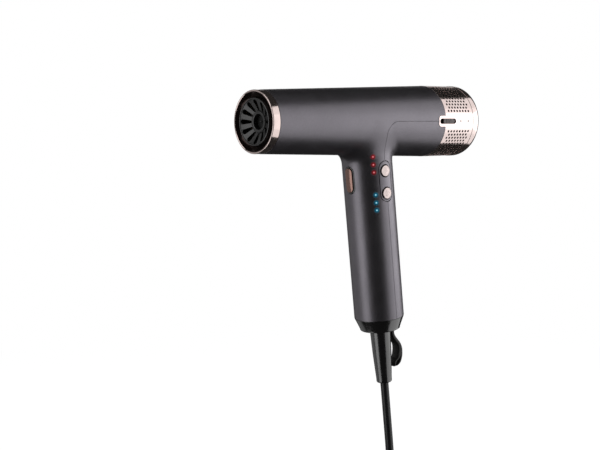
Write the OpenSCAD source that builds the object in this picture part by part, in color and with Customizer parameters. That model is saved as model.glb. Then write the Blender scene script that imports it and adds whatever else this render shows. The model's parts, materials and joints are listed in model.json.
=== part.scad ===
/* [Housing] */
// Lean of the handle, its foot towards the rear, in degrees
tilt = 6.5; // [0:0.5:10]
// From the barrel's axis down to the middle of the grip
grip_drop = 100; // [95:105]
// Length of the barrel's housing, from its front edge to its rear edge
barrel_len = 175; // [170:180]
// Barrel radius at the front edge
barrel_front_r = 24.7; // [24.5:0.1:25]
// Barrel radius at the rear edge
barrel_rear_r = 30.2; // [30:0.1:30.4]
// Handle radius
handle_r = 21; // [20.8:0.1:21.5]
// From the barrel's axis down to the end cap
handle_len = 165; // [160:170]
// Housing wall
wall = 2; // [1.8:0.1:2.2]

/* [Air inlet] */
// Length of the perforated cover
cover_len = 34.2; // [34:0.1:35]
// Diameter of one inlet hole
hole_d = 1.7; // [1.4:0.1:2]
// Holes in a long row
row_holes = 8; // [4:8]
// Gap between holes along a row
hole_pitch = 3.55; // [3.4:0.05:3.6]
// Angle between two rows of holes
row_step = 5.65; // [5.6:0.05:6]

/* [Controls] */
// Radius of the two round buttons
button_r = 4.6; // [4.2:0.1:4.7]
// From the barrel's axis down to the temperature button
temperature_s = 40.4; // [40:0.1:42]
// From the barrel's axis down to the speed button
speed_s = 58.9; // [57:0.1:60]
// Travel of a round button
button_travel = 0.8; // [0.4:0.1:1]
// Travel of the cool shot button
cool_travel = 1.5; // [0.5:0.1:1.6]

/* [Cord] */
// Cord diameter
cord_d = 7; // [6.8:0.1:7.2]
// Height of the surface that the coil lies on
floor_z = -240; // [-245:-240]
// Mean radius of the coil
coil_r = 38; // [38:0.5:40]

/* [Hidden] */
$fn = 96;
e = 1;                                  // overshoot of a cut
slack = 0.2;                            // gap round a piece that moves

// Barrel, along Y, from the crossing of its axis with the handle's
barrel_y = -grip_drop * sin(tilt);
barrel_z = grip_drop * cos(tilt);
front_y = -108.5;
rear_y = front_y + barrel_len;
function barrel_r(y) = barrel_front_r + (barrel_rear_r - barrel_front_r) * (y - front_y) / barrel_len;
seam_r = 11;                            // round corner of the seam between the two shells
seam_half = (90 - tilt) / 2;            // half the angle between the seam's straight lines

// Outlet
ring_len = 7;
ring_r = 24.5;
mouth_r = 18.4;
slot_end = [15.1, 1.9];                 // where a slot's outer end is centred, and its radius
hub_r = 8.6;
hub_hole_r = 6;
slots = 12;

// Motor and heater
duct_r = 20.5;
mica_r = 17.5;
shroud_r = 25.4;
shroud_y = [8, 58];
shaft_r = 1.6;
bearing_fit = 0.05;
bearing_r = 4;
bearing_y = [10, 44];
magnet_r = 5.2;
stator_r = 11.8;

// Air inlet: cover, collar and latch
cover_r = 30.3;
cover_in_r = 28.6;
collar_y = [58.5, 72];
cover_y = rear_y + 0.3;
end_y = cover_y + cover_len;            // where the end ring starts
tongue = [8.1, 9];                      // length in front of the cover, width
tongue_y = cover_y - tongue[0];
notch_gap = 0.3;
corner_r = 2.6;
latch_slot = [19.8, 4.5];
latch_slot_y = 59.6;
latch_len = 14.6;
first_hole_y = 71.2;
first_row = 90 - 13 * row_step;         // angle of the lowest row above the plain band

// Controls, on the handle
panel = [33.4, 12.8];
panel_gap = 0.5;
button_gap = 0.8;
panel_s = 49;
led_angle = -29.5;
led_r = 1.3;
red_s = [27.6, 34.1, 40.4];
blue_s = [58.9, 65.4, 71.6];
seat_x = 19.6;                          // floor of a round button's recess
switch_x = 16.9;                        // top of a switch's plunger
cool_s = 46.1;
cool_size = [22.8, 10];

// Handle's foot
cap_s = [handle_len + 0.2, 176.2];
relief_s = 223.3;
relief_r = [8.9, 6.5];
cap_floor = -170.6;                     // inside of the cap's bottom wall
clamp_x = 11.5;                         // screws of the cord clamp, from the axis
screw_r = 1.2;
lead_r = 0.7;
loop_w = 8.5;
loop_pivot = [11.3, 173.6];             // behind the handle's axis, below the barrel's axis

// Coil and plug, on the surface below
coil_c = [0, 82];
coil_half = 1.5 * cord_d;               // three turns side by side
coil_layers = [2 * cord_d, 20];         // height of the full layers, and of the turn on top
tie_t = 1.2;
tie_room = 0.6;                         // for the curve inside the coil
plug_c = [-36, 20];
plug_z = floor_z + 14;
plug_relief = 16;
plug_r = 18.5;
plug_len = [20, 6];                     // tapered back, straight front
pin_r = 2.4;
pin_gap = 19;
pin_len = 19;
relief_end = [0, (relief_s - grip_drop) * sin(tilt), -(relief_s - grip_drop) * cos(tilt)];
lean = [0, sin(tilt), -cos(tilt)];
cord_route = concat(
    [for (d = [0 : 13.54 : 67.7]) relief_end + d * lean],
    [[1.2, 23.3, -199], [4.5, 27, -209], [9.5, 32, -216.5], [16, 38.5, -221.5], [22.4, 45.2, -223.4],
        [28.8, 52.1, -223.4]]
);
tail_route = [
    [-45, 82, -236.5], [-45, 72, -236.5], [-44.7, 64, -235.6], [-43.8, 57, -233.5], [-42.2, 51, -231],
    [-40.1, 46, -228.5], [-38, 41.5, -226.8], [-36.4, 38, -226], [-36.2, 36, -226]
];

// Shared placements and shapes
module at_barrel() translate([0, barrel_y, barrel_z]) children();
// z = 0 on the barrel's axis, going down the handle is -z, the rear is +y
module at_handle() rotate([tilt, 0, 0]) translate([0, 0, grip_drop]) children();
module along_y(y0, y1, r1, r2) translate([0, y0, 0]) rotate([-90, 0, 0])
    cylinder(r1 = r1, r2 = is_undef(r2) ? r1 : r2, h = y1 - y0);
module tube_y(y0, y1, r, hole) difference() {
    along_y(y0, y1, r);
    along_y(y0 - e, y1 + e, hole);
}
// A flat shape in (Y, Z) made thick along X
module along_x(x0, x1) translate([x0, 0, 0]) rotate([90, 0, 90]) linear_extrude(x1 - x0) children();
// A flat shape in (X, Z) made thick towards the front
module frontwards(y0, y1) translate([0, -y0, 0]) rotate([90, 0, 0]) linear_extrude(y1 - y0) children();
module spun() rotate([-90, 0, 0]) rotate_extrude() children();
module pill(len, wide) {
    square([len - wide, wide], center = true);
    for (s = [-1, 1]) translate([s * (len - wide) / 2, 0]) circle(d = wide);
}
module handle_pill(len, wide) rotate(90) pill(len, wide);
module rounded(len, wide, r) {
    square([len - 2 * r, wide], center = true);
    square([len, wide - 2 * r], center = true);
    for (a = [-1, 1], b = [-1, 1]) translate([a * (len / 2 - r), b * (wide / 2 - r)]) circle(r);
}
// Tube swept along points: each ring is square to the line there
function unit(v) = v / norm(v);
function heading(p, i) = unit(p[min(i + 1, len(p) - 1)] - p[max(i - 1, 0)]);
function ring(c, t, r, n) = let (u = unit(cross(t, [0.9, 0.1, 0.4])), v = cross(t, u))
    [for (k = [0 : n - 1]) c + r * (cos(360 * k / n) * u + sin(360 * k / n) * v)];
module swept(p, r, n = 12) {
    last = len(p) - 1;
    polyhedron(
        points = [for (i = [0 : last]) each ring(p[i], heading(p, i), r, n)],
        faces = concat(
            [[for (k = [0 : n - 1]) k]],
            [for (i = [1 : last], k = [0 : n - 1])
                [(i - 1) * n + k, i * n + k, i * n + (k + 1) % n, (i - 1) * n + (k + 1) % n]],
            [[for (k = [n - 1 : -1 : 0]) last * n + k]]
        )
    );
}

// Housing: a tapered barrel and a round handle, cut into two shells along the seam
module handle_solid(r, low, top) translate([0, 0, -low]) cylinder(r = r, h = low - top);
module housing() difference() {
    union() {
        at_barrel() along_y(front_y, rear_y, barrel_front_r, barrel_rear_r);
        at_handle() handle_solid(handle_r, handle_len, 10);
    }
    at_barrel() {
        along_y(front_y - e, rear_y + e, barrel_r(front_y - e) - wall, barrel_r(rear_y + e) - wall);
        along_x(20, 40) translate([tongue_y - notch_gap + 10, 0])
            rounded(20, tongue[1] + 2 * notch_gap, corner_r);
    }
    at_handle() {
        handle_solid(handle_r - wall, handle_len + e, 15);
        handle_shell_cuts();
    }
}
module handle_shell_cuts() {
    // recess of the button panel, and the holes of the two stems
    difference() {
        translate([0, 0, -panel_s]) along_x(10, 30) handle_pill(panel[0] + 2 * panel_gap, panel[1] + 2 * panel_gap);
        handle_solid(handle_r - 1.1, 100, 0);
    }
    for (s = [temperature_s, speed_s]) translate([0, 0, -s]) rotate([0, 90, 0]) {
        cylinder(r = 2.2, h = 30);
        translate([0, 0, seat_x]) cylinder(r = button_r + button_gap, h = 5);
    }
    // seat of the cool shot bezel
    translate([0, 0, -cool_s]) frontwards(10, 30) handle_pill(cool_size[0], cool_size[1]);
    for (s = concat(red_s, blue_s)) led_bore(s);
}
module led_bore(s) translate([0, 0, -s]) rotate([0, 90, led_angle]) cylinder(r = led_r, h = 30);
// Side view of the rear shell: below and behind the seam
module rear_region() {
    foot = [sin(tilt), -cos(tilt)];
    centre = seam_r / sin(seam_half) * [cos(seam_half), -sin(seam_half)];
    corner = [for (a = [90 : 10 : 180 - tilt]) centre + seam_r * [cos(a), sin(a)]];
    polygon(concat([[90, 0]], corner, [200 * foot, [60, -200], [90, -60]]));
}
module front_housing() color("#5b5961") difference() {
    housing();
    at_barrel() along_x(-50, 50) rear_region();
}
module rear_cover() color("#545259") intersection() {
    housing();
    at_barrel() along_x(-50, 50) rear_region();
}

// Outlet
module outlet_ring() color("#d9a9a0") at_barrel() spun() polygon([
    [ring_r, front_y], [ring_r, front_y - ring_len + 0.5], [ring_r - 0.5, front_y - ring_len],
    [ring_r - 1.4, front_y - ring_len],
    [mouth_r, front_y - 3.2], [mouth_r, front_y + 4], [barrel_front_r - wall - 0.1, front_y + 4],
    [barrel_front_r - wall - 0.1, front_y]
]);
module outlet_grille() color("#161617") at_barrel() {
    difference() {
        spun() polygon([
            [mouth_r - 0.1, front_y - 6.6], [mouth_r - 1.2, front_y - 6.6], [mouth_r - 1.3, front_y - 6],
            [hub_r, front_y - 1.1], [hub_r - 0.4, front_y - 2.3], [hub_hole_r, front_y - 2.3],
            [hub_hole_r, front_y + 3], [hub_r, front_y + 3], [hub_r, front_y + 0.7],
            [mouth_r - 1.3, front_y - 4.2], [mouth_r - 1.3, front_y + 4], [mouth_r - 0.1, front_y + 4]
        ]);
        for (k = [1 : slots]) rotate([0, k * 360 / slots, 0]) grille_slot();
    }
}
// One slot, wider at its outer end, cut along Y
module grille_slot() translate([0, front_y + 10, 0]) rotate([90, 0, 0]) linear_extrude(20) {
    polygon([[10, -0.9], [slot_end[0], -slot_end[1]], slot_end, [10, 0.9]]);
    translate([9.9, 0]) circle(0.95);
    translate([slot_end[0], 0]) circle(slot_end[1]);
}
module ion_holder() color("#1d1d1f") at_barrel() tube_y(front_y + 2, front_y + 14, hub_hole_r - 0.1, 1);
module ion_needle() color("#c9c9cc") at_barrel() {
    along_y(front_y + 1, front_y + 18, 1);
    along_y(front_y - 0.8, front_y + 1, 0.05, 1);
}

// Heater
module heater_duct() color("#b9b3a4") at_barrel() tube_y(front_y + 4, -12, duct_r, duct_r - 0.8);
module mica_frame() color("#a98e5d") at_barrel() difference() {
    for (turn = [0, 90]) rotate([0, turn, 0]) translate([-mica_r, -88, -0.4]) cube([2 * mica_r, 68, 0.8]);
    along_y(-90, -84, 5);
    // seats of the thermostat and the fuse, on the lying card
    translate([8, -30, 0]) cylinder(r = 4.1, h = 8, center = true);
}
module heating_wire() color("#8f8a86") at_barrel()
    for (i = [0 : 8]) translate([0, -84 + 7 * i, 0]) rotate([90, 0, 0]) rotate_extrude()
        translate([mica_r + 0.5, 0]) circle(0.5, $fn = 24);
module thermostat() color("#c8c2b4") at_barrel() translate([8, -30, 0]) cylinder(r = 4, h = 5, center = true);
module thermal_fuse() color("#7d7f86") at_barrel() translate([-8, -60, 1.9]) rotate([90, 0, 0])
    cylinder(r = 1.5, h = 12, center = true);
module air_guide() color("#2a2a2d") at_barrel() difference() {
    along_y(-12, shroud_y[0], duct_r, shroud_r);
    along_y(-12, shroud_y[0], duct_r - 0.8, shroud_r - 1.2);
    translate([-11, -9, -30]) cube([22, 15, 20]);      // window for the leads
}

// Motor
module motor_sleeve() color("#232325") at_barrel() difference() {
    along_y(12, 46, barrel_r(12) - wall - 0.15, barrel_r(46) - wall - 0.15);
    along_y(11, 47, shroud_r);
}
module motor_shroud() color("#38383c") at_barrel() {
    tube_y(shroud_y[0], shroud_y[1], shroud_r, shroud_r - 1.2);
    tube_y(bearing_y[0], bearing_y[1], stator_r + 1.2, stator_r);
    for (y = bearing_y) tube_y(y - 2, y, stator_r + 1.2, bearing_r);
    for (k = [1 : 7]) rotate([0, k * 360 / 7, 0])
        translate([stator_r + 1, 16, -0.6]) cube([shroud_r - stator_r - 1.7, 24, 1.2]);
}
module bearings() color("#b5b7bb") at_barrel()
    for (y = bearing_y) tube_y(y - 2.5, y + 0.5, bearing_r, shaft_r + bearing_fit);
module stator_core() color("#70737a") at_barrel() difference() {
    tube_y(18, 36, stator_r, magnet_r + 0.4);
    for (k = [1 : 6]) rotate([0, k * 60, 0]) translate([8.7, 0, 0]) along_y(17, 37, 1.7);
}
module stator_windings() color("#b4672d") at_barrel() {
    for (k = [1 : 6]) rotate([0, k * 60, 0]) translate([8.7, 0, 0]) along_y(15.5, 38.5, 1.5);
    for (y = [16.7, 37.3]) rotate([-90, 0, 0]) translate([0, 0, y]) rotate_extrude()
        translate([8.7, 0]) square([4.4, 2.4], center = true);
}
module motor_board() color("#1f5a3c") at_barrel() tube_y(5, 6.6, 12, 2.4);
module rotor_shaft() color("#c5c7cb") at_barrel() along_y(5.6, 62, shaft_r);
module rotor_magnet() color("#56585e") at_barrel() tube_y(18.5, 35.5, magnet_r, shaft_r);
module impeller() color("#9ea1a8") at_barrel() difference() {
    union() {
        spun() polygon([[0, 48], [12, 48], [12, 49.5], [7, 58], [3.4, 61.5], [0, 61.5]]);
        intersection() {
            along_y(48, 57.5, shroud_r - 1.6);
            for (k = [1 : 9]) rotate([0, k * 40, 0]) translate([4, 52.5, 0]) rotate([35, 0, 0])
                cube([50, 14, 1], center = false);
        }
    }
    along_y(40, 70, shaft_r);
    along_y(57.5, 70, 30, 30.1);
}

// Air inlet
module inlet_collar() color("#1b1b1d") at_barrel() difference() {
    union() {
        along_y(collar_y[0], collar_y[1], barrel_r(collar_y[0]) - wall - 0.2);
        along_y(rear_y + 0.4, collar_y[1], cover_in_r - 0.25);
    }
    along_y(collar_y[0] - e, collar_y[1] + e, 25.7);
}
module cover_bands(r) {
    along_y(cover_y, end_y, r);
    intersection() {
        along_y(tongue_y, cover_y + e, r - 0.1);
        along_x(20, 40) translate([tongue_y + 10, 0]) rounded(20, tongue[1], corner_r);
    }
}
module filter_cover() color("#dcaca4") at_barrel() difference() {
    cover_bands(cover_r);
    along_y(cover_y - 20, end_y + e, cover_in_r);
    along_x(20, 40) translate([latch_slot_y + latch_slot[0] / 2, 0]) pill(latch_slot[0], latch_slot[1]);
    for (half = [0, 180], i = [0 : 2 : 26]) rotate([0, -half - first_row - i * row_step, 0]) air_slot();
}
// An air slot as long as a row of holes
module air_slot() translate([20, first_hole_y, 0]) rotate([0, 90, 0]) {
    long = (row_holes - 1) * hole_pitch;
    cylinder(d = hole_d, h = 15);
    translate([0, long, 0]) cylinder(d = hole_d, h = 15);
    translate([-hole_d / 2, 0, 0]) cube([hole_d, long, 15]);
}
module filter_mesh() color("#3b3836") at_barrel() difference() {
    tube_y(73, end_y - 0.2, cover_in_r, cover_in_r - 0.6);
    for (turn = [0 : 30 : 330]) rotate([0, turn + 15, 0]) translate([20, 76, -3]) cube([12, 22, 6]);
}
module cover_end_ring() color("#dcaca4") at_barrel() spun() difference() {
    union() {
        translate([23.4, end_y]) square([30.5 - 23.4, 4]);
        intersection() {
            translate([30.5 - 7.5, end_y + 4]) circle(7.5);
            translate([23.4, end_y + 4]) square([10, 6.4]);
        }
    }
    translate([0, end_y - e]) square([cover_in_r - 1.6, 4.5]);
}
module cover_end_disc() color("#242326") at_barrel() spun() polygon([
    [0, end_y + 6], [14, end_y + 6.4], [23.3, end_y + 8.6], [23.3, end_y + 5], [14, end_y + 4.4], [0, end_y + 4.4]
]);
module cover_latch() color("#5a5554") at_barrel() intersection() {
    tube_y(50, 90, cover_r - 0.5, cover_in_r + 0.15);
    along_x(20, 40) translate([latch_slot_y + latch_slot[0] - 0.1 - latch_len / 2, 0])
        pill(latch_len, latch_slot[1] - 0.2);
}

// Controls
module button_panel() color("#5d5b63") at_handle() difference() {
    intersection() {
        handle_solid(handle_r, 90, 10);
        translate([0, 0, -panel_s]) along_x(10, 30) handle_pill(panel[0], panel[1]);
    }
    handle_solid(handle_r - 1.1, 100, 0);
    for (s = [temperature_s, speed_s]) translate([0, 0, -s]) rotate([0, 90, 0])
        cylinder(r = button_r + button_gap, h = 30);
}
module round_button(s) at_handle() translate([0, 0, -s]) {
    rotate([0, 90, 0]) {
        translate([0, 0, switch_x + button_travel + slack]) cylinder(r = 1.8, h = 3);
        translate([0, 0, seat_x + button_travel + 0.1]) cylinder(r = button_r, h = 0.7);
        translate([0, 0, seat_x + button_travel + 0.8]) cylinder(r1 = button_r, r2 = button_r - 0.5, h = 0.5);
    }
}
module temperature_button() color("#e3b5ab") round_button(temperature_s);
module speed_button() color("#e3b5ab") round_button(speed_s);
module cool_shot_bezel() color("#121213") at_handle() difference() {
    intersection() {
        translate([0, 0, -cool_s]) frontwards(17.6, 30) handle_pill(cool_size[0], cool_size[1]);
        handle_solid(handle_r, 90, 10);
    }
    translate([0, 0, -cool_s]) frontwards(10, 40) handle_pill(cool_size[0] - 2.2, cool_size[1] - 2.2);
}
module cool_shot_button() color("#b98a80") at_handle() translate([0, 0, -cool_s]) {
    intersection() {
        frontwards(18.6, 30) handle_pill(cool_size[0] - 2.8, cool_size[1] - 2.8);
        translate([0, 0, -30]) cylinder(r = handle_r + 1.2, h = 60);
    }
    frontwards(13.7 + cool_travel, 19) square([3, 5], center = true);
}
module control_board() color("#1f5a3c") at_handle() translate([11, -8, -92]) cube([1.6, 16, 66]);
module button_switches() color("#2b2b2e") at_handle() for (s = [temperature_s, speed_s]) translate([0, 0, -s]) {
    translate([12.6, -3, -3]) cube([3.5, 6, 6]);
    rotate([0, 90, 0]) translate([0, 0, 16]) cylinder(r = 1.6, h = switch_x - 16, $fn = 32);
}
module cool_shot_switch() color("#2b2b2e") at_handle() translate([0, 0, -cool_s]) {
    translate([-6, -9.5, -9]) cube([12, 1.5, 18]);
    translate([-3, -13, -3]) cube([6, 3.5, 6]);
    frontwards(13, 13.6) circle(1.6);
}
module light_pipes(rows) at_handle() for (s = rows) translate([0, 0, -s]) rotate([0, 90, led_angle])
    translate([0, 0, 15.5]) cylinder(r = led_r, h = handle_r + 0.1 - 15.5, $fn = 32);
module red_light_pipes() color("#e8402c") light_pipes(red_s);
module blue_light_pipes() color("#29b6e8") light_pipes(blue_s);
module power_board() color("#1f5a3c") at_handle() translate([-4, -13, -150]) cube([1.6, 26, 50]);
module main_capacitor() color("#27313f") at_handle() translate([4.5, 0, -138]) cylinder(r = 6.4, h = 26);
// Leads run up the handle and through the guide's window
module motor_leads() color("#a13a33") at_handle() for (k = [-1, 0, 1]) swept([
    [-4.8, 3 * k, -104], [-4.8, 3 * k, -80], [-5, 2.5 * k, -50], [3 * k - 4, -2, -30],
    [3 * k - 3, -3, -20], [3 * k - 3, -1, -13], [3 * k - 3, 3.9, -9.5]
], lead_r, 8);
module heater_leads() color("#d7d2c6") at_handle() for (k = [-1, 1]) swept([
    [-1.7, 8 * k, -104], [0, 6 * k, -85], [6 + 2 * k, 0, -60], [6 + 2 * k, -3, -35],
    [6 + 2 * k, -6, -22], [6 + 2 * k, -10, -14], [6 + 2 * k, -16, -6], [6 + 2 * k, -24, 1.6]
], lead_r, 8);
module mains_leads() color("#3a62a8") at_handle() for (k = [-1, 1]) swept([
    [1.5 * k, 0, -152], [0.4 + k, 1.5 * k, -149.5], [-1.5, 3 * k, -146.5], [-1.7, 3.4 * k, -142]
], lead_r, 8);

// Handle's foot
module handle_end_cap() color("#101011") at_handle() difference() {
    union() {
        rotate_extrude() difference() {
            polygon([
                [handle_r - wall - 0.1, -cap_s[0] + 7], [handle_r - wall - 1.6, -cap_s[0] + 7],
                [handle_r - wall - 1.6, -cap_s[0] - 1], [15, cap_floor], [0, cap_floor], [0, -cap_s[1]],
                [16.1, -cap_s[1]], [16.6, -cap_s[1] + 0.5], [handle_r - 0.1, -cap_s[0] - 0.4],
                [handle_r - 0.1, -cap_s[0]], [handle_r - wall - 0.1, -cap_s[0]]
            ]);
            translate([0, -180]) square([relief_r[0] + 0.1, 20]);
        }
        for (x = [-clamp_x, clamp_x]) translate([x, 0, cap_floor - e]) cylinder(r = 2.2, h = -163 - cap_floor + e);
    }
    for (x = [-clamp_x, clamp_x]) translate([x, 0, cap_floor]) cylinder(r = screw_r, h = 20);
    // slot of the strap's bead, open downwards and to the rear
    along_x(-loop_w / 2 - slack, loop_w / 2 + slack) translate([loop_pivot[0], -loop_pivot[1]]) {
        circle(1.8);
        polygon([[-1.8, 0], [-1.8, -5], [8.6, -5], [2.2, 0]]);
    }
}
module cord_clamp() color("#1e1e20") at_handle() difference() {
    translate([-14, -4.5, -163]) cube([28, 9, 7]);
    translate([0, 0, -170]) cylinder(d = cord_d, h = 20);
    for (x = [-clamp_x, clamp_x]) translate([x, 0, -170]) cylinder(r = screw_r, h = 20);
}
module clamp_screws() color("#8d8f94") at_handle() for (x = [-clamp_x, clamp_x]) translate([x, 0, 0]) {
    translate([0, 0, cap_floor]) cylinder(r = screw_r, h = -156 - cap_floor);
    translate([0, 0, -156]) difference() {
        cylinder(r = 2.2, h = 1.8);
        translate([-0.4, -3, 1]) cube([0.8, 6, 2]);
    }
}
module inner_lead() color("#1a1a1b") at_handle() translate([0, 0, -170]) cylinder(d = cord_d, h = 18);
module strain_relief() color("#161617") at_handle() rotate_extrude() polygon(concat(
    [[0, -170], [10, -170], [10, cap_floor], [relief_r[0], cap_floor], [relief_r[0], -cap_s[1]]],
    [for (a = [0 : 15 : 90]) [relief_r[1] - 1.6 + 1.6 * cos(a), -relief_s + 1.6 - 1.6 * sin(a)]],
    [[0, -relief_s]]
));
// Doubled strap, side view in (rearwards, down): its strands part round a small eye near the bottom
strap_rear = [
    [12.5, 176], [12.2, 183.2], [13.7, 186.3], [16.1, 189.5], [18.4, 192.7], [19.7, 195.7], [20.3, 198.6],
    [20.2, 201.2], [19.9, 203.8], [19.1, 206.3], [17.9, 208.7], [16.3, 210.9], [14.9, 212.5], [13.6, 213.2]
];
strap_front = [
    [12.2, 213.1], [10.9, 212.2], [10.2, 210.8], [10.4, 209.2], [11.4, 207.6], [12.9, 206.4], [14.6, 205.6],
    [15.2, 204.1], [16.2, 200.9], [16.7, 197.4], [16.3, 193.8], [14, 190.6], [11.4, 186.8], [10, 182.6], [10.1, 176]
];
strap_eye = [
    [18.4, 204.2], [17.8, 206], [16.7, 208.1], [15.3, 210], [14.2, 211.2], [13.2, 211.8], [12.3, 211.6],
    [11.7, 210.8], [11.7, 209.6], [12.4, 208.4], [13.6, 207.4], [15.2, 206.6], [16.5, 205.3]
];
function downwards(points) = [for (p = points) [p[0], -p[1]]];
module hang_loop() color("#131314") at_handle() {
    intersection() {
        along_x(-loop_w / 2, loop_w / 2) difference() {
            polygon(downwards(concat(strap_rear, strap_front)));
            polygon(downwards(strap_eye));
        }
        // rounded end
        translate([0, 5, -209]) rotate([-90, 0, 0]) linear_extrude(20) {
            circle(loop_w / 2);
            translate([-loop_w / 2, -40]) square([loop_w, 40]);
        }
    }
    along_x(-loop_w / 2, loop_w / 2) {
        translate([loop_pivot[0], -loop_pivot[1]]) circle(1.55);
        translate([loop_pivot[0] - 1.2, -177]) square([2.4, 177 - loop_pivot[1]]);
    }
}

// Cord on the surface below the dryer
module cord() color("#1a1a1b") swept(cord_route, cord_d / 2);
module cord_coil() color("#1a1a1b") translate([coil_c[0], coil_c[1], floor_z]) rotate_extrude() polygon([
    [coil_r - coil_half, 0], [coil_r + coil_half, 0], [coil_r + coil_half, coil_layers[0]],
    [coil_r + cord_d, coil_layers[1]], [coil_r, coil_layers[1]], [coil_r - cord_d / 2, coil_layers[0]],
    [coil_r - coil_half, coil_layers[0]]
]);
module cord_tail() color("#1a1a1b") swept(tail_route, cord_d / 2);
module coil_tie() color("#0f0f10") translate([coil_c[0] + coil_r, coil_c[1], floor_z]) difference() {
    translate([-coil_half - tie_room - tie_t, -5, 0])
        cube([2 * (coil_half + tie_t) + tie_room, 10, coil_layers[1] + 0.1 + tie_t]);
    translate([-coil_half - tie_room, -6, -e]) cube([2 * coil_half + tie_room + 0.1, 12, coil_layers[1] + 0.1 + e]);
}
module plug_section() intersection() {
    circle(plug_r);
    square([2 * plug_r, 2 * (plug_z - floor_z) - 0.2], center = true);
}
module plug_body() color("#141415") translate([plug_c[0], plug_c[1], plug_z]) rotate([90, 0, 0]) {
    translate([0, 0, -plug_relief]) cylinder(r1 = 4.6, r2 = 6, h = plug_relief);
    intersection() {
        cylinder(r1 = 13, r2 = plug_r, h = plug_len[0]);
        linear_extrude(plug_len[0]) plug_section();
    }
    translate([0, 0, plug_len[0]]) linear_extrude(plug_len[1]) plug_section();
}
module plug_pins() color("#c9cace") translate([plug_c[0], plug_c[1] - plug_len[0] - plug_len[1], plug_z])
    rotate([90, 0, 0]) for (s = [-1, 1]) translate([s * pin_gap / 2, 0, 0]) {
        cylinder(r = pin_r, h = pin_len - 1);
        translate([0, 0, pin_len - 1]) cylinder(r1 = pin_r, r2 = pin_r - 1, h = 1);
    }

front_housing();
rear_cover();
outlet_ring();
outlet_grille();
ion_holder();
ion_needle();
heater_duct();
mica_frame();
heating_wire();
thermostat();
thermal_fuse();
air_guide();
motor_sleeve();
motor_shroud();
bearings();
stator_core();
stator_windings();
motor_board();
rotor_shaft();
rotor_magnet();
impeller();
inlet_collar();
filter_cover();
filter_mesh();
cover_end_ring();
cover_end_disc();
cover_latch();
button_panel();
temperature_button();
speed_button();
cool_shot_bezel();
cool_shot_button();
control_board();
button_switches();
cool_shot_switch();
red_light_pipes();
blue_light_pipes();
power_board();
main_capacitor();
motor_leads();
heater_leads();
mains_leads();
handle_end_cap();
cord_clamp();
clamp_screws();
inner_lead();
strain_relief();
hang_loop();
cord();
cord_coil();
cord_tail();
coil_tie();
plug_body();
plug_pins();
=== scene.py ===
import json
import math

import bmesh
import bpy
import numpy as np
from mathutils import Matrix, Vector
from mathutils.geometry import delaunay_2d_cdt


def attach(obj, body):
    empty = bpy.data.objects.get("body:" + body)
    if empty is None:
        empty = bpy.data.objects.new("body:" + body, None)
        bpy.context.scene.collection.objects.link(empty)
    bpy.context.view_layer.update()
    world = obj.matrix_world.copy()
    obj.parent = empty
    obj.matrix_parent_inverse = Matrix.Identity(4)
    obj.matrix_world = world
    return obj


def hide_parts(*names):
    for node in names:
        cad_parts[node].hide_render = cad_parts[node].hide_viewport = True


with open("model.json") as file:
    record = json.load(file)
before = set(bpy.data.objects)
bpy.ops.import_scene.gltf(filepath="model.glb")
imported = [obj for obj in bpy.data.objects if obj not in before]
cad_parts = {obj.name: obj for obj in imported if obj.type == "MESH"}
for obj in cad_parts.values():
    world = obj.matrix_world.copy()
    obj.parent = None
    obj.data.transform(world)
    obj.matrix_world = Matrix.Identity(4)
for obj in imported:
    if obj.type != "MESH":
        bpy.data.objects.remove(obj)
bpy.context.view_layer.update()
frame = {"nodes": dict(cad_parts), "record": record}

MM = 0.001
TILT = math.radians(6.5)                    # lean of the handle
DROP = 100.0                                # barrel's axis to the middle of the grip
COS, SIN = math.cos(TILT), math.sin(TILT)
# Barrel frame: +Y to the rear along the axis. Handle frame: the same origin, -Z down the handle.
BARREL = Matrix.Translation((0, -DROP * SIN * MM, DROP * COS * MM))
LEAN = Matrix.Rotation(TILT, 4, "X")
HANDLE = BARREL @ LEAN
FLOOR = -240.0
FRONT_Y, REAR_Y, FRONT_R, REAR_R, HANDLE_R, HANDLE_S = -108.5, 66.5, 24.7, 30.2, 21.0, 165.0
DRUM_R = 30.0                               # radius on which the barrel's arc lengths are measured

# ---- camera
camera = bpy.data.objects.new("camera", bpy.data.cameras.new("camera"))
bpy.context.scene.collection.objects.link(camera)
bpy.context.scene.camera = camera
camera.data.lens = 68.74
camera.data.sensor_width = 36.0
camera.data.clip_end = 20.0


def place_camera(azimuth, height, distance, yaw, pitch, roll):
    """A camera round the barrel's origin, in degrees and mm, turned off it by yaw, pitch and roll."""
    a, turn, p, r = (math.radians(v) for v in (azimuth, azimuth + yaw, pitch, roll))
    ahead, right = Vector((-math.sin(turn), math.cos(turn), 0)), Vector((math.cos(turn), math.sin(turn), 0))
    up = Vector((0, 0, 1))
    look, top = ahead * math.cos(p) - up * math.sin(p), up * math.cos(p) + ahead * math.sin(p)
    side, crown = right * math.cos(r) + top * math.sin(r), top * math.cos(r) - right * math.sin(r)
    matrix = Matrix((side, crown, -look)).transposed().to_4x4()
    matrix.translation = Vector((distance * math.sin(a), -distance * math.cos(a), height)) * MM \
        + BARREL.translation
    camera.matrix_world = matrix


place_camera(46.479, 2.681, 949.918, 3.179, 5.323, -0.112)
bpy.context.scene.view_settings.view_transform = "Standard"


# ---- materials
def add_node(tree, kind, inputs=(), **settings):
    """A shader node with its settings, and with each input linked or given a value."""
    node = tree.nodes.new(kind)
    for key, value in settings.items():
        setattr(node, key, value)
    for key, value in dict(inputs).items():
        if isinstance(value, bpy.types.NodeSocket):
            tree.links.new(value, node.inputs[key])
        else:
            node.inputs[key].default_value = value
    return node


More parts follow.
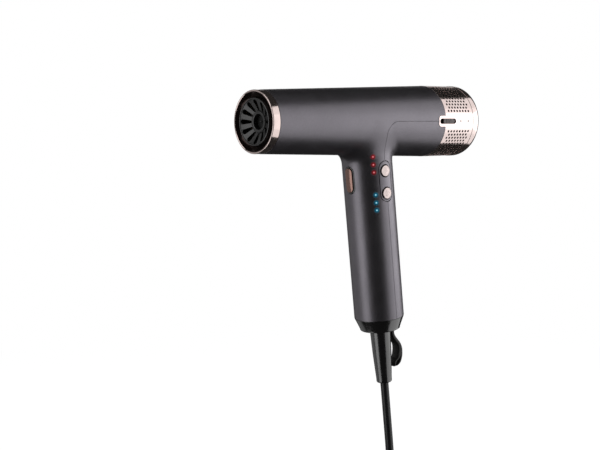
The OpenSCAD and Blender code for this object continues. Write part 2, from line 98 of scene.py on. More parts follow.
class Nodes:
    """Shader nodes of one material, made and linked in one line each."""

    def __init__(self, name):
        self.material = bpy.data.materials.new(name)
        self.material.use_nodes = True
        self.tree = self.material.node_tree
        self.tree.nodes.clear()
        self.shader = self.add("ShaderNodeBsdfPrincipled")
        self.add("ShaderNodeOutputMaterial", {0: self.shader.outputs[0]})
        self.place = self.add("ShaderNodeTexCoord").outputs["Object"]

    def add(self, kind, inputs=(), **settings):
        return add_node(self.tree, kind, inputs, **settings)

    def noise(self, scale, detail=2.0, stretch=None):
        place = self.place
        if stretch:
            place = self.add("ShaderNodeMapping", {"Vector": place, "Scale": stretch}).outputs[0]
        return self.add("ShaderNodeTexNoise", {"Vector": place, "Scale": scale, "Detail": detail}).outputs["Fac"]

    def spread(self, value, low, high, start=0.35, end=0.65):
        return self.add("ShaderNodeMapRange", {"Value": value, "From Min": start, "From Max": end,
                                               "To Min": low, "To Max": high}).outputs[0]

    def blotches(self, scale, detail, a, b):
        """Two colours in soft patches."""
        return self.mix(self.spread(self.noise(scale, detail), 0.0, 1.0), a, b)

    def maths(self, operation, *values):
        return self.add("ShaderNodeMath", dict(enumerate(values)), operation=operation).outputs[0]

    def mix(self, factor, a, b):
        return self.add("ShaderNodeMix", {0: factor, 6: a, 7: b}, data_type="RGBA").outputs[2]

    def bump(self, height, depth, strength=1.0, normal=None):
        inputs = {"Height": height, "Distance": depth, "Strength": strength}
        if normal:
            inputs["Normal"] = normal
        return self.add("ShaderNodeBump", inputs).outputs[0]

    def set(self, **values):
        for key, value in values.items():
            socket = self.shader.inputs[key.replace("_", " ")]
            if isinstance(value, bpy.types.NodeSocket):
                self.tree.links.new(value, socket)
            else:
                socket.default_value = value


def rgb(r, g, b):
    return (r, g, b, 1.0)


def shaded(colour, k):
    return tuple(min(1.0, c * k) for c in colour[:3]) + (1.0,)


def plain(name, colour, rough, metallic=0.0, vary=0.12, grain=900.0, depth=0.00001, smear=0.04, **more):
    """Moulded, painted or metal finish: blotchy tone, uneven gloss and a fine grain."""
    n = Nodes(name)
    n.set(Base_Color=n.blotches(60, 3, shaded(colour, 1 - vary), shaded(colour, 1 + vary)),
          Roughness=n.spread(n.noise(140, 4), max(0.02, rough - smear), rough + smear),
          Metallic=metallic, Normal=n.bump(n.noise(grain, 2), depth), **more)
    return n.material


def brushed(name, colour, rough, stretch, metallic=1.0, vary=0.1):
    """Turned or drawn metal: streaks along the direction that isn't stretched."""
    n = Nodes(name)
    streak = n.noise(500, 3, stretch)
    n.set(Base_Color=n.mix(n.spread(streak, 0.0, 1.0), shaded(colour, 1 - vary),
                           shaded(colour, 1 + vary)),
          Roughness=n.spread(streak, rough - 0.05, rough + 0.08), Metallic=metallic,
          Normal=n.bump(streak, 0.000015))
    return n.material


def satin_paint():
    """Metallic anthracite paint: fine flakes, a soft orange peel and a slightly uneven sheen."""
    n = Nodes("grey_shell")
    flake = n.add("ShaderNodeTexVoronoi", {"Vector": n.place, "Scale": 5200.0}).outputs["Color"]
    bright = n.add("ShaderNodeSeparateColor", {"Color": flake}).outputs[0]
    base = n.mix(n.spread(bright, 0.0, 1.0, 0.0, 1.0), rgb(0.19, 0.178, 0.198), rgb(0.27, 0.254, 0.281))
    tone = n.blotches(22, 2, rgb(0.93, 0.93, 0.93), rgb(1.0, 1.0, 1.0))
    paint = n.add("ShaderNodeMix", {0: 1.0, 6: base, 7: tone}, data_type="RGBA",
                  blend_type="MULTIPLY").outputs[2]
    peel = n.bump(n.noise(700, 2), 0.000012)
    n.set(Base_Color=paint, Roughness=n.spread(n.noise(90, 3), 0.36, 0.41), Metallic=0.92,
          Normal=n.bump(n.noise(4200, 1), 0.000006, normal=peel))
    return n.material


def rose_metal(name, rough, marks=()):
    """Polished rose gold plating. marks are points, in metres, each with a small dull dot round it."""
    n = Nodes(name)
    base = n.blotches(45, 3, rgb(0.90, 0.74, 0.705), rgb(0.94, 0.79, 0.755))
    gloss = n.spread(n.noise(160, 4), rough - 0.02, rough + 0.03)
    for point in marks:
        away = n.add("ShaderNodeVectorMath", {0: n.place, 1: point}, operation="DISTANCE").outputs["Value"]
        dot = n.spread(away, 0.9, 0.0, 0.0008, 0.0016)
        base = n.mix(dot, base, rgb(0.25, 0.235, 0.23))
    n.set(Base_Color=base, Roughness=gloss, Metallic=1.0, Normal=n.bump(n.noise(1300, 2), 0.000002))
    return n.material


def etched_button(name, centre, icon):
    """Rose gold button with a faint line icon in its middle. centre is in metres."""
    n = Nodes(name)
    local = n.add("ShaderNodeMapping", {"Vector": n.place, "Location": -centre}).outputs[0]
    turned = n.add("ShaderNodeVectorRotate", {"Vector": local, "Angle": -TILT},
                   rotation_type="X_AXIS").outputs[0]
    axes = n.add("ShaderNodeSeparateXYZ", {"Vector": turned})
    u, v = (n.maths("MULTIPLY", axes.outputs[k], 1000.0) for k in (1, 2))
    radius = n.maths("SQRT", n.maths("ADD", n.maths("MULTIPLY", u, u), n.maths("MULTIPLY", v, v)))
    if icon == "fan":
        angle = n.maths("ARCTAN2", v, u)
        petal = n.maths("ABSOLUTE", n.maths("COSINE", n.maths("MULTIPLY", angle, 1.5)))
        edge = n.maths("ADD", n.maths("MULTIPLY", petal, 1.5), 0.6)
        line = n.maths("ABSOLUTE", n.maths("SUBTRACT", radius, edge))
    else:
        wave = n.maths("MULTIPLY", n.maths("SINE", n.maths("MULTIPLY", v, 2.6)), 0.22)
        comb = n.maths("PINGPONG", n.maths("ADD", n.maths("SUBTRACT", u, wave), 10.05), 0.67)
        line = n.maths("ADD", comb, n.maths("MAXIMUM", n.maths("SUBTRACT", radius, 1.9), 0.0))
    ink = n.spread(line, 0.5, 0.0, 0.1, 0.26)
    base = n.blotches(300, 2, rgb(0.56, 0.475, 0.46), rgb(0.62, 0.53, 0.51))
    n.set(Base_Color=n.mix(ink, base, rgb(0.2, 0.15, 0.14)), Metallic=1.0,
          Roughness=n.spread(n.noise(700, 3, (1, 1, 8)), 0.2, 0.28),
          Normal=n.bump(n.maths("MULTIPLY", ink, -1.0), 0.00003))
    return n.material


def woven(name, colour, size, rough, depth):
    """Threads or fibres crossing at right angles, size apart in metres."""
    n = Nodes(name)
    waves = [n.add("ShaderNodeTexWave", {"Vector": n.place, "Scale": 0.32 / size, "Distortion": 0.4,
                                         "Detail": 1.0, "Detail Scale": 2.0}, bands_direction=d).outputs["Fac"]
             for d in ("X", "Y", "Z")]
    weave = n.maths("MAXIMUM", n.maths("MAXIMUM", waves[0], waves[1]), waves[2])
    n.set(Base_Color=n.mix(weave, shaded(colour, 0.55), shaded(colour, 1.25)),
          Roughness=n.spread(n.noise(400, 3), rough - 0.06, rough + 0.06),
          Normal=n.bump(weave, depth, 0.7))
    return n.material


def led(name, deep, core, strength):
    """Lit lens under the paint: pale in the middle, deep round it and fading out, by each point's glow value."""
    n = Nodes(name)
    glow = n.add("ShaderNodeAttribute", attribute_name="glow").outputs["Fac"]
    haze = n.spread(n.noise(2500, 2), 0.9, 1.0)
    middle = n.spread(glow, 0.0, 1.0, 0.7, 0.9)
    level = n.maths("MULTIPLY", n.maths("POWER", glow, 2.4), haze)
    n.set(Base_Color=n.mix(n.spread(glow, 0.0, 1.0, 0.0, 0.6), rgb(0.24, 0.23, 0.25), deep), Metallic=0.6,
          Roughness=n.spread(n.noise(500, 2), 0.36, 0.42), Emission_Color=n.mix(middle, deep, core),
          Emission_Strength=n.spread(level, 0.0, strength, 0.0, 1.0))
    return n.material


GREY = satin_paint()
ROSE = rose_metal("rose_gold", 0.13)
DRUM = rose_metal("rose_gold_cover", 0.13,
                  [BARREL.translation + Vector((30.3, y, 0)) * MM for y in (85.2, 94.8)])
GLOSS = plain("black_gloss", rgb(0.008, 0.0075, 0.008), 0.2, vary=0.2, grain=500, depth=0.000006, smear=0.03,
              IOR=1.9, Coat_Weight=0.8, Coat_Roughness=0.14, Coat_IOR=1.7)
GRATE = plain("grate", rgb(0.016, 0.0155, 0.016), 0.3, vary=0.15, grain=1500, depth=0.00002, IOR=1.7)
# Painted shade: the outlet ring's inner wall is a dark brown metal that stands in for its dark reflection.
THROAT_SHADE = plain("throat", rgb(0.05, 0.034, 0.031), 0.16, metallic=0.85, vary=0.15, grain=900, depth=0.000004)
MATTE = plain("black_matte", rgb(0.022, 0.021, 0.022), 0.4, vary=0.18, grain=1500, depth=0.00003)
GOLD_BROWN = plain("button_gold", rgb(0.36, 0.215, 0.18), 0.2, metallic=0.9, vary=0.06, grain=600, depth=0.000006)
RUBBER = plain("rubber", rgb(0.008, 0.0075, 0.0085), 0.22, vary=0.2, grain=700, depth=0.000004, IOR=1.9,
               Coat_Weight=0.7, Coat_Roughness=0.16, Coat_IOR=1.7)
JACKET = plain("cord_jacket", rgb(0.02, 0.0195, 0.021), 0.3, vary=0.2, grain=1100, depth=0.00003)
STRAP = woven("strap", rgb(0.02, 0.018, 0.018), 0.0009, 0.55, 0.00006)
RED = led("red_light", rgb(0.36, 0.012, 0.02), rgb(0.85, 0.3, 0.32), 1.15)
BLUE = led("blue_light", rgb(0.0, 0.19, 0.32), rgb(0.45, 0.8, 0.9), 1.25)
# Painted shade: near-black finish on the ion holder, so that the hub's hole reads as deep shade.
ION_HOLDER_SHADE = plain("painted_shade_black", rgb(0.004, 0.004, 0.004), 0.7, vary=0.2, grain=900)
LOOKS = {
    "grey_shell": GREY, "rose_gold": ROSE, "black_gloss": GLOSS, "black_matte": MATTE,
    "button_gold": GOLD_BROWN, "red_light": RED, "blue_light": BLUE, "rubber": RUBBER,
    "cord_jacket": JACKET, "strap": STRAP,
    "steel": brushed("steel", rgb(0.62, 0.62, 0.63), 0.28, (1, 0.1, 1)),
    "aluminium": brushed("aluminium", rgb(0.72, 0.73, 0.75), 0.33, (1, 0.05, 1)),
    "nickel": brushed("nickel", rgb(0.72, 0.70, 0.67), 0.18, (1, 0.1, 1)),
    "magnet": plain("magnet", rgb(0.2, 0.2, 0.21), 0.35, metallic=0.9, grain=500),
    "copper": brushed("copper", rgb(0.72, 0.33, 0.16), 0.3, (1, 8, 1)),
    "resistance_wire": brushed("resistance_wire", rgb(0.36, 0.33, 0.31), 0.4, (1, 0.2, 1)),
    "mica": plain("mica", rgb(0.42, 0.31, 0.15), 0.35, vary=0.3, grain=260, depth=0.00004, smear=0.1),
    "ceramic": plain("ceramic", rgb(0.72, 0.67, 0.58), 0.5, vary=0.06, grain=700, depth=0.00003),
    "circuit_board": plain("circuit_board", rgb(0.02, 0.15, 0.06), 0.32, vary=0.35, grain=420, depth=0.00003),
    "mesh": woven("mesh", rgb(0.012, 0.0115, 0.011), 0.0005, 0.6, 0.0001),
    "capacitor_sleeve": plain("capacitor_sleeve", rgb(0.03, 0.05, 0.1), 0.3, vary=0.2, grain=700),
    "lead_red": plain("lead_red", rgb(0.5, 0.03, 0.02), 0.4, grain=900, depth=0.00002),
    "lead_white": plain("lead_white", rgb(0.72, 0.7, 0.64), 0.45, vary=0.06, grain=900, depth=0.00002),
    "lead_blue": plain("lead_blue", rgb(0.03, 0.12, 0.45), 0.4, grain=900, depth=0.00002),
}
# The ion holder takes the painted-shade black; every other node takes its slot's look.
for part in frame["record"]["subparts"]:
    for holder in frame["nodes"][part["node"]].material_slots:
        holder.material = ION_HOLDER_SHADE if part["node"] == "ion_holder" else LOOKS[part["material_slot"]]


# ---- making pieces
def finish_piece(name, mesh, body, material, nodes):
    """Puts a mesh in the scene on its body, in place of the CAD nodes that it stands for."""
    obj = bpy.data.objects.new(name, mesh)
    bpy.context.scene.collection.objects.link(obj)
    mesh.materials.clear()
    mesh.materials.append(material)
    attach(obj, body)
    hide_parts(*nodes)
    return obj


def mesh_of(name, points, faces, place=None):
    """A mesh of points in mm, in the frame given by place, with its faces turned outwards."""
    mesh = bpy.data.meshes.new(name)
    mesh.from_pydata([tuple(c * MM for c in p) for p in points], [], faces)
    if place is not None:
        mesh.transform(place)
    work = bmesh.new()
    work.from_mesh(mesh)
    bmesh.ops.remove_doubles(work, verts=work.verts, dist=1e-7)
    bmesh.ops.recalc_face_normals(work, faces=work.faces)
    work.to_mesh(mesh)
    work.free()
    return mesh


def soften(mesh, width, segments=2, angle=35, crease=30):
    """Rounds a mesh's sharp edges by width in mm, then shades it smooth except over what stays sharp."""
    work = bmesh.new()
    work.from_mesh(mesh)
    if width:
        limit = math.radians(angle)
        sharp = [e for e in work.edges if len(e.link_faces) == 2 and e.calc_face_angle(0) > limit]
        bmesh.ops.bevel(work, geom=sharp, offset=width * MM, segments=segments, profile=0.5,
                        affect="EDGES", clamp_overlap=True)
    for face in work.faces:
        face.smooth = True
    for edge in work.edges:
        edge.smooth = len(edge.link_faces) == 2 and edge.calc_face_angle(0) < math.radians(crease)
    work.to_mesh(mesh)
    work.free()
    return mesh


def lathe(name, profile, place, axis="Y", segments=128, bevel=0.0):
    """A profile of (radius, height) turned round an axis. It is closed unless it starts and ends on the axis."""
    rows = []
    for radius, height in profile:
        ring = []
        for k in range(segments if radius > 1e-6 else 1):
            a = 2 * math.pi * k / segments
            flat = (radius * math.cos(a), radius * math.sin(a))
            ring.append((flat[0], height, flat[1]) if axis == "Y" else (flat[0], flat[1], height))
        rows.append(ring)
    points = [p for ring in rows for p in ring]
    first = [0]
    for ring in rows:
        first.append(first[-1] + len(ring))
    on_axis = len(rows[0]) == 1 or len(rows[-1]) == 1
    faces = []
    for i in range(len(rows) - 1 if on_axis else len(rows)):
        j = (i + 1) % len(rows)
        for k in range(segments):
            a = first[i] + k % len(rows[i])
            b = first[i] + (k + 1) % len(rows[i])
            c = first[j] + (k + 1) % len(rows[j])
            d = first[j] + k % len(rows[j])
            corners = list(dict.fromkeys((a, b, c, d)))
            if len(corners) > 2:
                faces.append(corners)
    return soften(mesh_of(name, points, faces, place), bevel)


def turned_piece(name, profile, body, slot, material, node, place=BARREL, **shape):
    """A finished piece turned from a profile, in place of one CAD node."""
    return finish_piece(name, lathe(name, profile, place, **shape), body, material, [node])


def arc(centre, radius, start, end, steps):
    """Points of an arc, angles in degrees."""
    turn = [math.radians(start + (end - start) * k / steps) for k in range(steps + 1)]
    return [(centre[0] + radius * math.cos(a), centre[1] + radius * math.sin(a)) for a in turn]


def circle(centre, radius, steps=24):
    return arc(centre, radius, 0, 360, steps)[:-1]


def pill(centre, length, width, steps=12):
    """Outline of a slot, long in the first direction."""
    r, reach = width / 2, (length - width) / 2
    return arc((centre[0] + reach, centre[1]), r, -90, 90, steps) \
        + arc((centre[0] - reach, centre[1]), r, 90, 270, steps)


def inside(points, loop):
    """Which points are inside a closed outline."""
    x, y = points[:, 0], points[:, 1]
    result = np.zeros(len(points), bool)
    for (x0, y0), (x1, y1) in zip(loop, loop[1:] + loop[:1]):
        if y0 != y1:
            result ^= ((y0 > y) != (y1 > y)) & (x < (x1 - x0) * (y - y0) / (y1 - y0) + x0)
    return result


def sheet_faces(outline, holes, step):
    """Fills an outline with holes, in mm. Points inside it are step apart, so that it can be bent."""
    loops = [outline] + holes
    flat = np.array([p for loop in loops for p in loop])
    low, high = flat.min(0), flat.max(0)
    grid = np.array([(u, v) for u in np.arange(low[0], high[0], step[0]) + 0.013
                     for v in np.arange(low[1], high[1], step[1]) + 0.017])
    keep = inside(grid, outline)
    for loop in holes:
        keep &= ~inside(grid, loop)
    grid = grid[keep]
    near = np.array([np.abs(flat - p).max(1).min() > 0.3 * min(step) for p in grid]) if len(grid) else []
    points = np.vstack([flat, grid[near]]) if len(grid) else flat
    edges, start = [], 0
    for loop in loops:
        edges += [(start + k, start + (k + 1) % len(loop)) for k in range(len(loop))]
        start += len(loop)
    found, _, faces, *_ = delaunay_2d_cdt([Vector(p) for p in points], edges, [], 0, 1e-6)
    found = np.array([tuple(p) for p in found])
    middles = np.array([found[list(f)].mean(0) for f in faces])
    keep = inside(middles, outline)
    for loop in holes:
        keep &= ~inside(middles, loop)
    return found, [f for f, k in zip(faces, keep) if k]


def plate(name, outline, holes, outer, inner, place, bend, step=(2.0, 1.5), bevel=0.15, round_about=None):
    """A piece cut from a flat sheet and bent by bend(u, v, level) at its outer and inner levels."""
    flat, faces = sheet_faces(outline, holes, step)
    count = len(flat)
    points = [bend(u, v, outer) for u, v in flat] + [bend(u, v, inner) for u, v in flat]
    sides = {}
    for f in faces:
        for a, b in zip(f, f[1:] + f[:1]):
            sides[(a, b)] = sides.get((a, b), 0) + 1
    both = list(faces) + [[k + count for k in reversed(f)] for f in faces]
    both += [[b, a, a + count, b + count] for a, b in sides if (b, a) not in sides]
    used = sorted({k for f in both for k in f})
    index = {k: i for i, k in enumerate(used)}
    mesh = mesh_of(name, [points[k] for k in used], [[index[k] for k in f] for f in both])
    soften(mesh, bevel)
    if round_about:
        aim(mesh, round_about)
    if place is not None:
        mesh.transform(place)
    return mesh


def aim(mesh, true_normals, within=0.94):
    """Sets the corner normals of the faces that follow a known surface. true_normals takes points in mm."""
    count = len(mesh.loops)
    vertex = np.zeros(count, int)
    mesh.loops.foreach_get("vertex_index", vertex)
    place = np.zeros(len(mesh.vertices) * 3)
    mesh.vertices.foreach_get("co", place)
    known = true_normals(place.reshape(-1, 3) / MM)
    normals = np.zeros(count * 3)
    mesh.corner_normals.foreach_get("vector", normals)
    normals = normals.reshape(-1, 3)
    flat = np.zeros(len(mesh.polygons) * 3)
    mesh.polygons.foreach_get("normal", flat)
    total = np.zeros(len(mesh.polygons), int)
    mesh.polygons.foreach_get("loop_total", total)
    face_normal = np.repeat(flat.reshape(-1, 3), total, axis=0)
    wanted = known[vertex]
    side = (wanted * face_normal).sum(1)
    follows = np.abs(side) > within
    normals[follows] = (wanted * np.sign(side)[:, None])[follows]
    mesh.normals_split_custom_set([tuple(n) for n in normals])


def round_y(u, v, r):
    """Along the barrel, and round it by an arc length on DRUM_R."""
    return (r * math.cos(v / DRUM_R), u, r * math.sin(v / DRUM_R))


def round_z(u, v, r):
    """Down the handle, and round it from its +X side towards the rear, by an arc length on HANDLE_R."""
    return (r * math.cos(v / HANDLE_R), r * math.sin(v / HANDLE_R), -u)


def across(points, axes):
    out = np.zeros_like(points)
    out[:, axes] = points[:, axes]
    return out / np.maximum(np.linalg.norm(out, axis=1), 1e-9)[:, None]


def barrel_normals(points):
    return across(points, [0, 2])


def handle_normals(points):
    return across(points, [0, 1])


# ---- cord, coil and what lies on it
def between(a, b, c, d, s):
    """The Catmull-Rom point a share s of the way from b to c."""
    return 0.5 * (2 * b + (c - a) * s + (2 * a - 5 * b + 4 * c - d) * s * s + (3 * b - a - 3 * c + d) * s ** 3)


def smooth_line(points, steps):
    """A smooth curve through the points."""
    p = [Vector(points[0])] + [Vector(q) for q in points] + [Vector(points[-1])]
    line = []
    for a, b, c, d in zip(p, p[1:], p[2:], p[3:]):
        line += [between(a, b, c, d, k / steps) for k in range(steps)]
    return line + [p[-1]]


CORD_D = 7.0
COIL_C, COIL_R = (0.0, 82.0), 38.0
RELIEF_END = 123.3                          # middle of the grip to the strain relief's mouth
STRAIGHT = 13.54                            # spacing of the points where the cord leaves straight
relief_end = Vector((0, RELIEF_END * SIN, -RELIEF_END * COS))
cord_points = [relief_end + STRAIGHT * k * Vector((0, SIN, -COS)) for k in range(6)]
cord_points += [(1.2, 23.3, -199), (4.5, 27, -209), (9.5, 32, -216.5), (16, 38.5, -221.5), (22.4, 45.2, -223.4),
                (28.8, 52.1, -223.4)]
# (radius, height above the floor) of each turn, from the first part-turn on top to the last on the floor
turns = [(COIL_R + 3.5, 16.56), (COIL_R + 7, 10.5), (COIL_R, 10.5), (COIL_R - 7, 10.5), (COIL_R - 7, 3.5),
         (COIL_R, 3.5), (COIL_R + 7, 3.5)]
first_angle, last_angle, count = -46, 180 + 6 * 360, 133
for i in range(1, count + 1):
    angle = first_angle + (last_angle - first_angle) * i / count
    turn = max(0, math.floor((angle - 180) / 360) + 1)
    share = (angle + 180) / 360 - turn
    ease = max(0.0, (share - 0.8) / 0.2)
    ease = ease * ease * (3 - 2 * ease)
    now, then = turns[min(turn, 6)], turns[min(turn + 1, 6)]
    r, height = (now[k] + (then[k] - now[k]) * ease for k in (0, 1))
    cord_points.append((COIL_C[0] + r * math.cos(math.radians(angle)),
                        COIL_C[1] + r * math.sin(math.radians(angle)), FLOOR + height))
cord_points += [(-45, 72, -236.5), (-44.7, 64, -235.6), (-43.8, 57, -233.5), (-42.2, 51, -231),
                (-40.1, 46, -228.5), (-38, 41.5, -226.8), (-36.4, 38, -226), (-36.2, 36, -226)]
cord_line = smooth_line(cord_points, 5)
curve = bpy.data.curves.new("mains_cord", "CURVE")
curve.dimensions = "3D"
curve.bevel_depth = CORD_D / 2 * MM
curve.bevel_resolution = 5
curve.use_fill_caps = True
spline = curve.splines.new("POLY")
spline.points.add(len(cord_line) - 1)
for point, place in zip(spline.points, cord_line):
    point.co = (*(place * MM), 1)
spline.use_smooth = True
cord = finish_piece("mains_cord", curve, "housing", JACKET, ["cord", "cord_coil", "cord_tail"])


def flat_y(u, v, level):
    """A sheet that stands across the Y axis: u is X, v is Z."""
    return (u, level, v)


def flat_x(u, v, level):
    """A sheet that stands across the X axis: u is Y, v is Z."""
    return (level, u, v)


def hull(circles, steps=48):
    """The outline of a belt round several (centre, radius) circles."""
    loop = []
    for k in range(steps):
        a = 2 * math.pi * k / steps
        d = (math.cos(a), math.sin(a))
        c, r = max(circles, key=lambda q: q[0][0] * d[0] + q[0][1] * d[1] + q[1])
        loop.append((c[0] + r * d[0], max(c[1] + r * d[1], 0.05)))
    return [p for p, q in zip(loop, loop[1:] + loop[:1]) if math.dist(p, q) > 0.02]


bundle = [((r - COIL_R, h), 3.5) for r, h in turns]
tie_place = Matrix.Translation(Vector((COIL_C[0] + COIL_R, COIL_C[1], FLOOR)) * MM)
belt = [(c, r + 1.1) for c, r in bundle]


def round_coil(u, v, level):
    """The tie's outline, bent along the coil."""
    a = level / COIL_R
    return ((COIL_R + u) * math.cos(a) - COIL_R, (COIL_R + u) * math.sin(a), v)


gap = [((u, v), r - 0.05) for (u, v), r in bundle]
tie = finish_piece("cord_tie", plate("cord_tie", hull(belt), [[(u, max(v, 0.6)) for u, v in hull(gap)]], 5, -5,
                                     tie_place, round_coil, step=(3, 3), bevel=0.3),
                   "housing", STRAP, ["coil_tie"])

# Plug: a D-shaped grip with a ribbed relief behind it; the pins are the CAD node
PLUG_C = (-36.0, 20.0, -226.0)


def plug_mesh():
    stations = [(16, 4.6, 4.6, 2), (14.6, 5.0, 5.0, 2)]
    for k in range(4):
        at = 13.6 - 3.2 * k
        stations += [(at, 5.1 + 0.25 * k, 5.1 + 0.25 * k, 2), (at - 0.3, 4.5 + 0.25 * k, 4.5 + 0.25 * k, 2),
                     (at - 1.1, 4.6 + 0.25 * k, 4.6 + 0.25 * k, 2), (at - 1.4, 5.3 + 0.25 * k, 5.3 + 0.25 * k, 2)]
    stations += [(1.0, 5.9, 5.9, 2), (0.2, 8.5, 8.0, 2.2), (-0.3, 12.0, 11.4, 2.5), (-1.0, 13.1, 12.5, 2.8)]
    for k in range(5):
        at, w = -3.5 - 2.6 * k, 13.9 + 0.72 * k
        stations += [(at, w, 12.9, 3), (at - 0.4, w - 0.55, 12.5, 3), (at - 1.3, w - 0.4, 12.5, 3),
                     (at - 1.7, w + 0.3, 13, 3)]
    stations += [(-18, 18.1, 13.4, 3), (-20, 18.5, 13.8, 3), (-25.2, 18.5, 13.8, 3), (-25.8, 18.2, 13.5, 3),
                 (-26, 17.6, 12.9, 3), (-26, 9, 6.5, 3)]
    n, points, faces = 72, [], []
    for y, w, h, power in stations:
        for k in range(n):
            a = 2 * math.pi * k / n
            c, s = math.cos(a), math.sin(a)
            points.append((w * math.copysign(abs(c) ** (2 / power), c), y,
                           h * math.copysign(abs(s) ** (2 / power), s)))
    for i in range(len(stations) - 1):
        faces += [(i * n + k, i * n + (k + 1) % n, (i + 1) * n + (k + 1) % n, (i + 1) * n + k) for k in range(n)]
    faces += [list(range(n)), [(len(stations) - 1) * n + k for k in reversed(range(n))]]
    mesh = mesh_of("plug_grip", points, faces, Matrix.Translation(Vector(PLUG_C) * MM))
    return soften(mesh, 0.0, crease=50)


plug = finish_piece("plug_grip", plug_mesh(), "housing", MATTE, ["plug_body"])


# ---- housing: one blended skin, cut into two shells
FRONT_FLARE, REAR_FLARE = 11.0, 6.0         # how far the barrel and the handle blend where they meet


def skin_distance(p):
    """Distance in mm from barrel and handle, blended where they meet: widely in front, closely behind."""
    slope = (REAR_R - FRONT_R) / (REAR_Y - FRONT_Y)
    tube = (np.hypot(p[:, 0], p[:, 2]) - FRONT_R - slope * (p[:, 1] - FRONT_Y)) / math.hypot(1, slope)
    back = p[:, 1] * COS + p[:, 2] * SIN
    down = p[:, 1] * SIN - p[:, 2] * COS
    side = np.hypot(p[:, 0], back) - HANDLE_R
    stem = np.hypot(np.maximum(side, 0), np.maximum(-down, 0)) + np.minimum(np.maximum(side, -down), 0)
    share = np.clip((back + 21) / 42, 0, 1)
    width = FRONT_FLARE + (REAR_FLARE - FRONT_FLARE) * share * share * (3 - 2 * share)
    mix = np.maximum(width - np.abs(tube - stem), 0) / width
    return np.minimum(tube, stem) - mix * mix * width / 4


def skin_slope(p):
    out = np.zeros_like(p)
    for k in range(3):
        step = np.zeros(3)
        step[k] = 0.02
        out[:, k] = (skin_distance(p + step) - skin_distance(p - step)) / 0.04
    return out


def skin_normals(p):
    slope = skin_slope(p)
    return slope / np.maximum(np.linalg.norm(slope, axis=1), 1e-9)[:, None]


def grid_tube(name, ends, ring_at, rows, around):
    """A closed tube: ring_at(t, angle) gives its points, in mm."""
    points, faces = [], []
    for i in range(rows + 1):
        t = ends[0] + (ends[1] - ends[0]) * i / rows
        points += [ring_at(t, 2 * math.pi * k / around) for k in range(around)]
    for i in range(rows):
        faces += [(i * around + k, i * around + (k + 1) % around, (i + 1) * around + (k + 1) % around,
                   (i + 1) * around + k) for k in range(around)]
    faces += [list(range(around)), [rows * around + k for k in reversed(range(around))]]
    return mesh_of(name, points, faces)


def cut_by(obj, other, operation="DIFFERENCE"):
    """Applies an exact boolean and removes the other object."""
    modifier = obj.modifiers.new("cut", "BOOLEAN")
    modifier.operation, modifier.solver, modifier.object = operation, "EXACT", other
    result = bpy.data.meshes.new_from_object(obj.evaluated_get(bpy.context.evaluated_depsgraph_get()))
    obj.modifiers.clear()
    obj.data = result
    bpy.data.objects.remove(other)
    return obj


def loose(mesh):
    """A working object for a mesh that is still being cut."""
    obj = bpy.data.objects.new(mesh.name, mesh)
    bpy.context.scene.collection.objects.link(obj)
    return obj


def taken(obj, *softening, **more):
    """The softened mesh of a working object, which is removed."""
    mesh = soften(obj.data.copy(), *softening, **more)
    bpy.data.objects.remove(obj)
    return mesh


def barrel_ring(y, a):
    r = FRONT_R + (REAR_R - FRONT_R) * (y - FRONT_Y) / (REAR_Y - FRONT_Y)
    return (r * math.cos(a), y, r * math.sin(a))


def handle_ring(s, a):
    x, b = HANDLE_R * math.cos(a), HANDLE_R * math.sin(a)
    return (x, b * COS + s * SIN, b * SIN - s * COS)


def blended_skin():
    """The open outer surface of the whole housing, in the barrel's frame, in metres."""
    skin = loose(grid_tube("skin", (FRONT_Y - 2, REAR_Y + 2), barrel_ring, 104, 120))
    skin = cut_by(skin, loose(grid_tube("stem", (6, HANDLE_S + 2), handle_ring, 94, 90)), "UNION")
    work = bmesh.new()
    work.from_mesh(skin.data)
    bmesh.ops.remove_doubles(work, verts=work.verts, dist=2e-5)
    caps = [f for f in work.faces if len(f.verts) > 40]
    bmesh.ops.delete(work, geom=caps, context="FACES")
    bmesh.ops.triangulate(work, faces=[f for f in work.faces if len(f.verts) > 4])
    place = np.array([v.co for v in work.verts]) / MM
    for _ in range(8):
        slope = skin_slope(place)
        place -= (skin_distance(place) / np.maximum((slope ** 2).sum(1), 0.05))[:, None] * slope
    for v, p in zip(work.verts, place):
        v.co = Vector(p) * MM
    down = Vector((0, SIN, -COS))
    for point, normal in (((0, FRONT_Y, 0), (0, -1, 0)), ((0, REAR_Y, 0), (0, 1, 0)), (down * HANDLE_S, down)):
        bmesh.ops.bisect_plane(work, geom=work.verts[:] + work.edges[:] + work.faces[:], dist=1e-7,
                               plane_co=Vector(point) * MM, plane_no=normal, clear_outer=True)
    bpy.data.objects.remove(skin)
    return work


SEAM_R, SEAM_HALF = 11.0, (math.pi / 2 - TILT) / 2
SEAM_C = (SEAM_R / math.sin(SEAM_HALF) * math.cos(SEAM_HALF), -SEAM_R)


def seam_region(grow):
    """Side view, in (Y, Z), of the shell below and behind the seam, grown by grow."""
    bend = [(SEAM_C[0] + (SEAM_R + grow) * math.cos(a), SEAM_C[1] + (SEAM_R + grow) * math.sin(a))
            for a in (math.radians(90 + (90 - math.degrees(TILT)) * k / 8) for k in range(9))]
    foot = (bend[-1][0] + 220 * SIN, bend[-1][1] - 220 * COS)
    return [(90, grow)] + bend + [foot, (90, -220)]


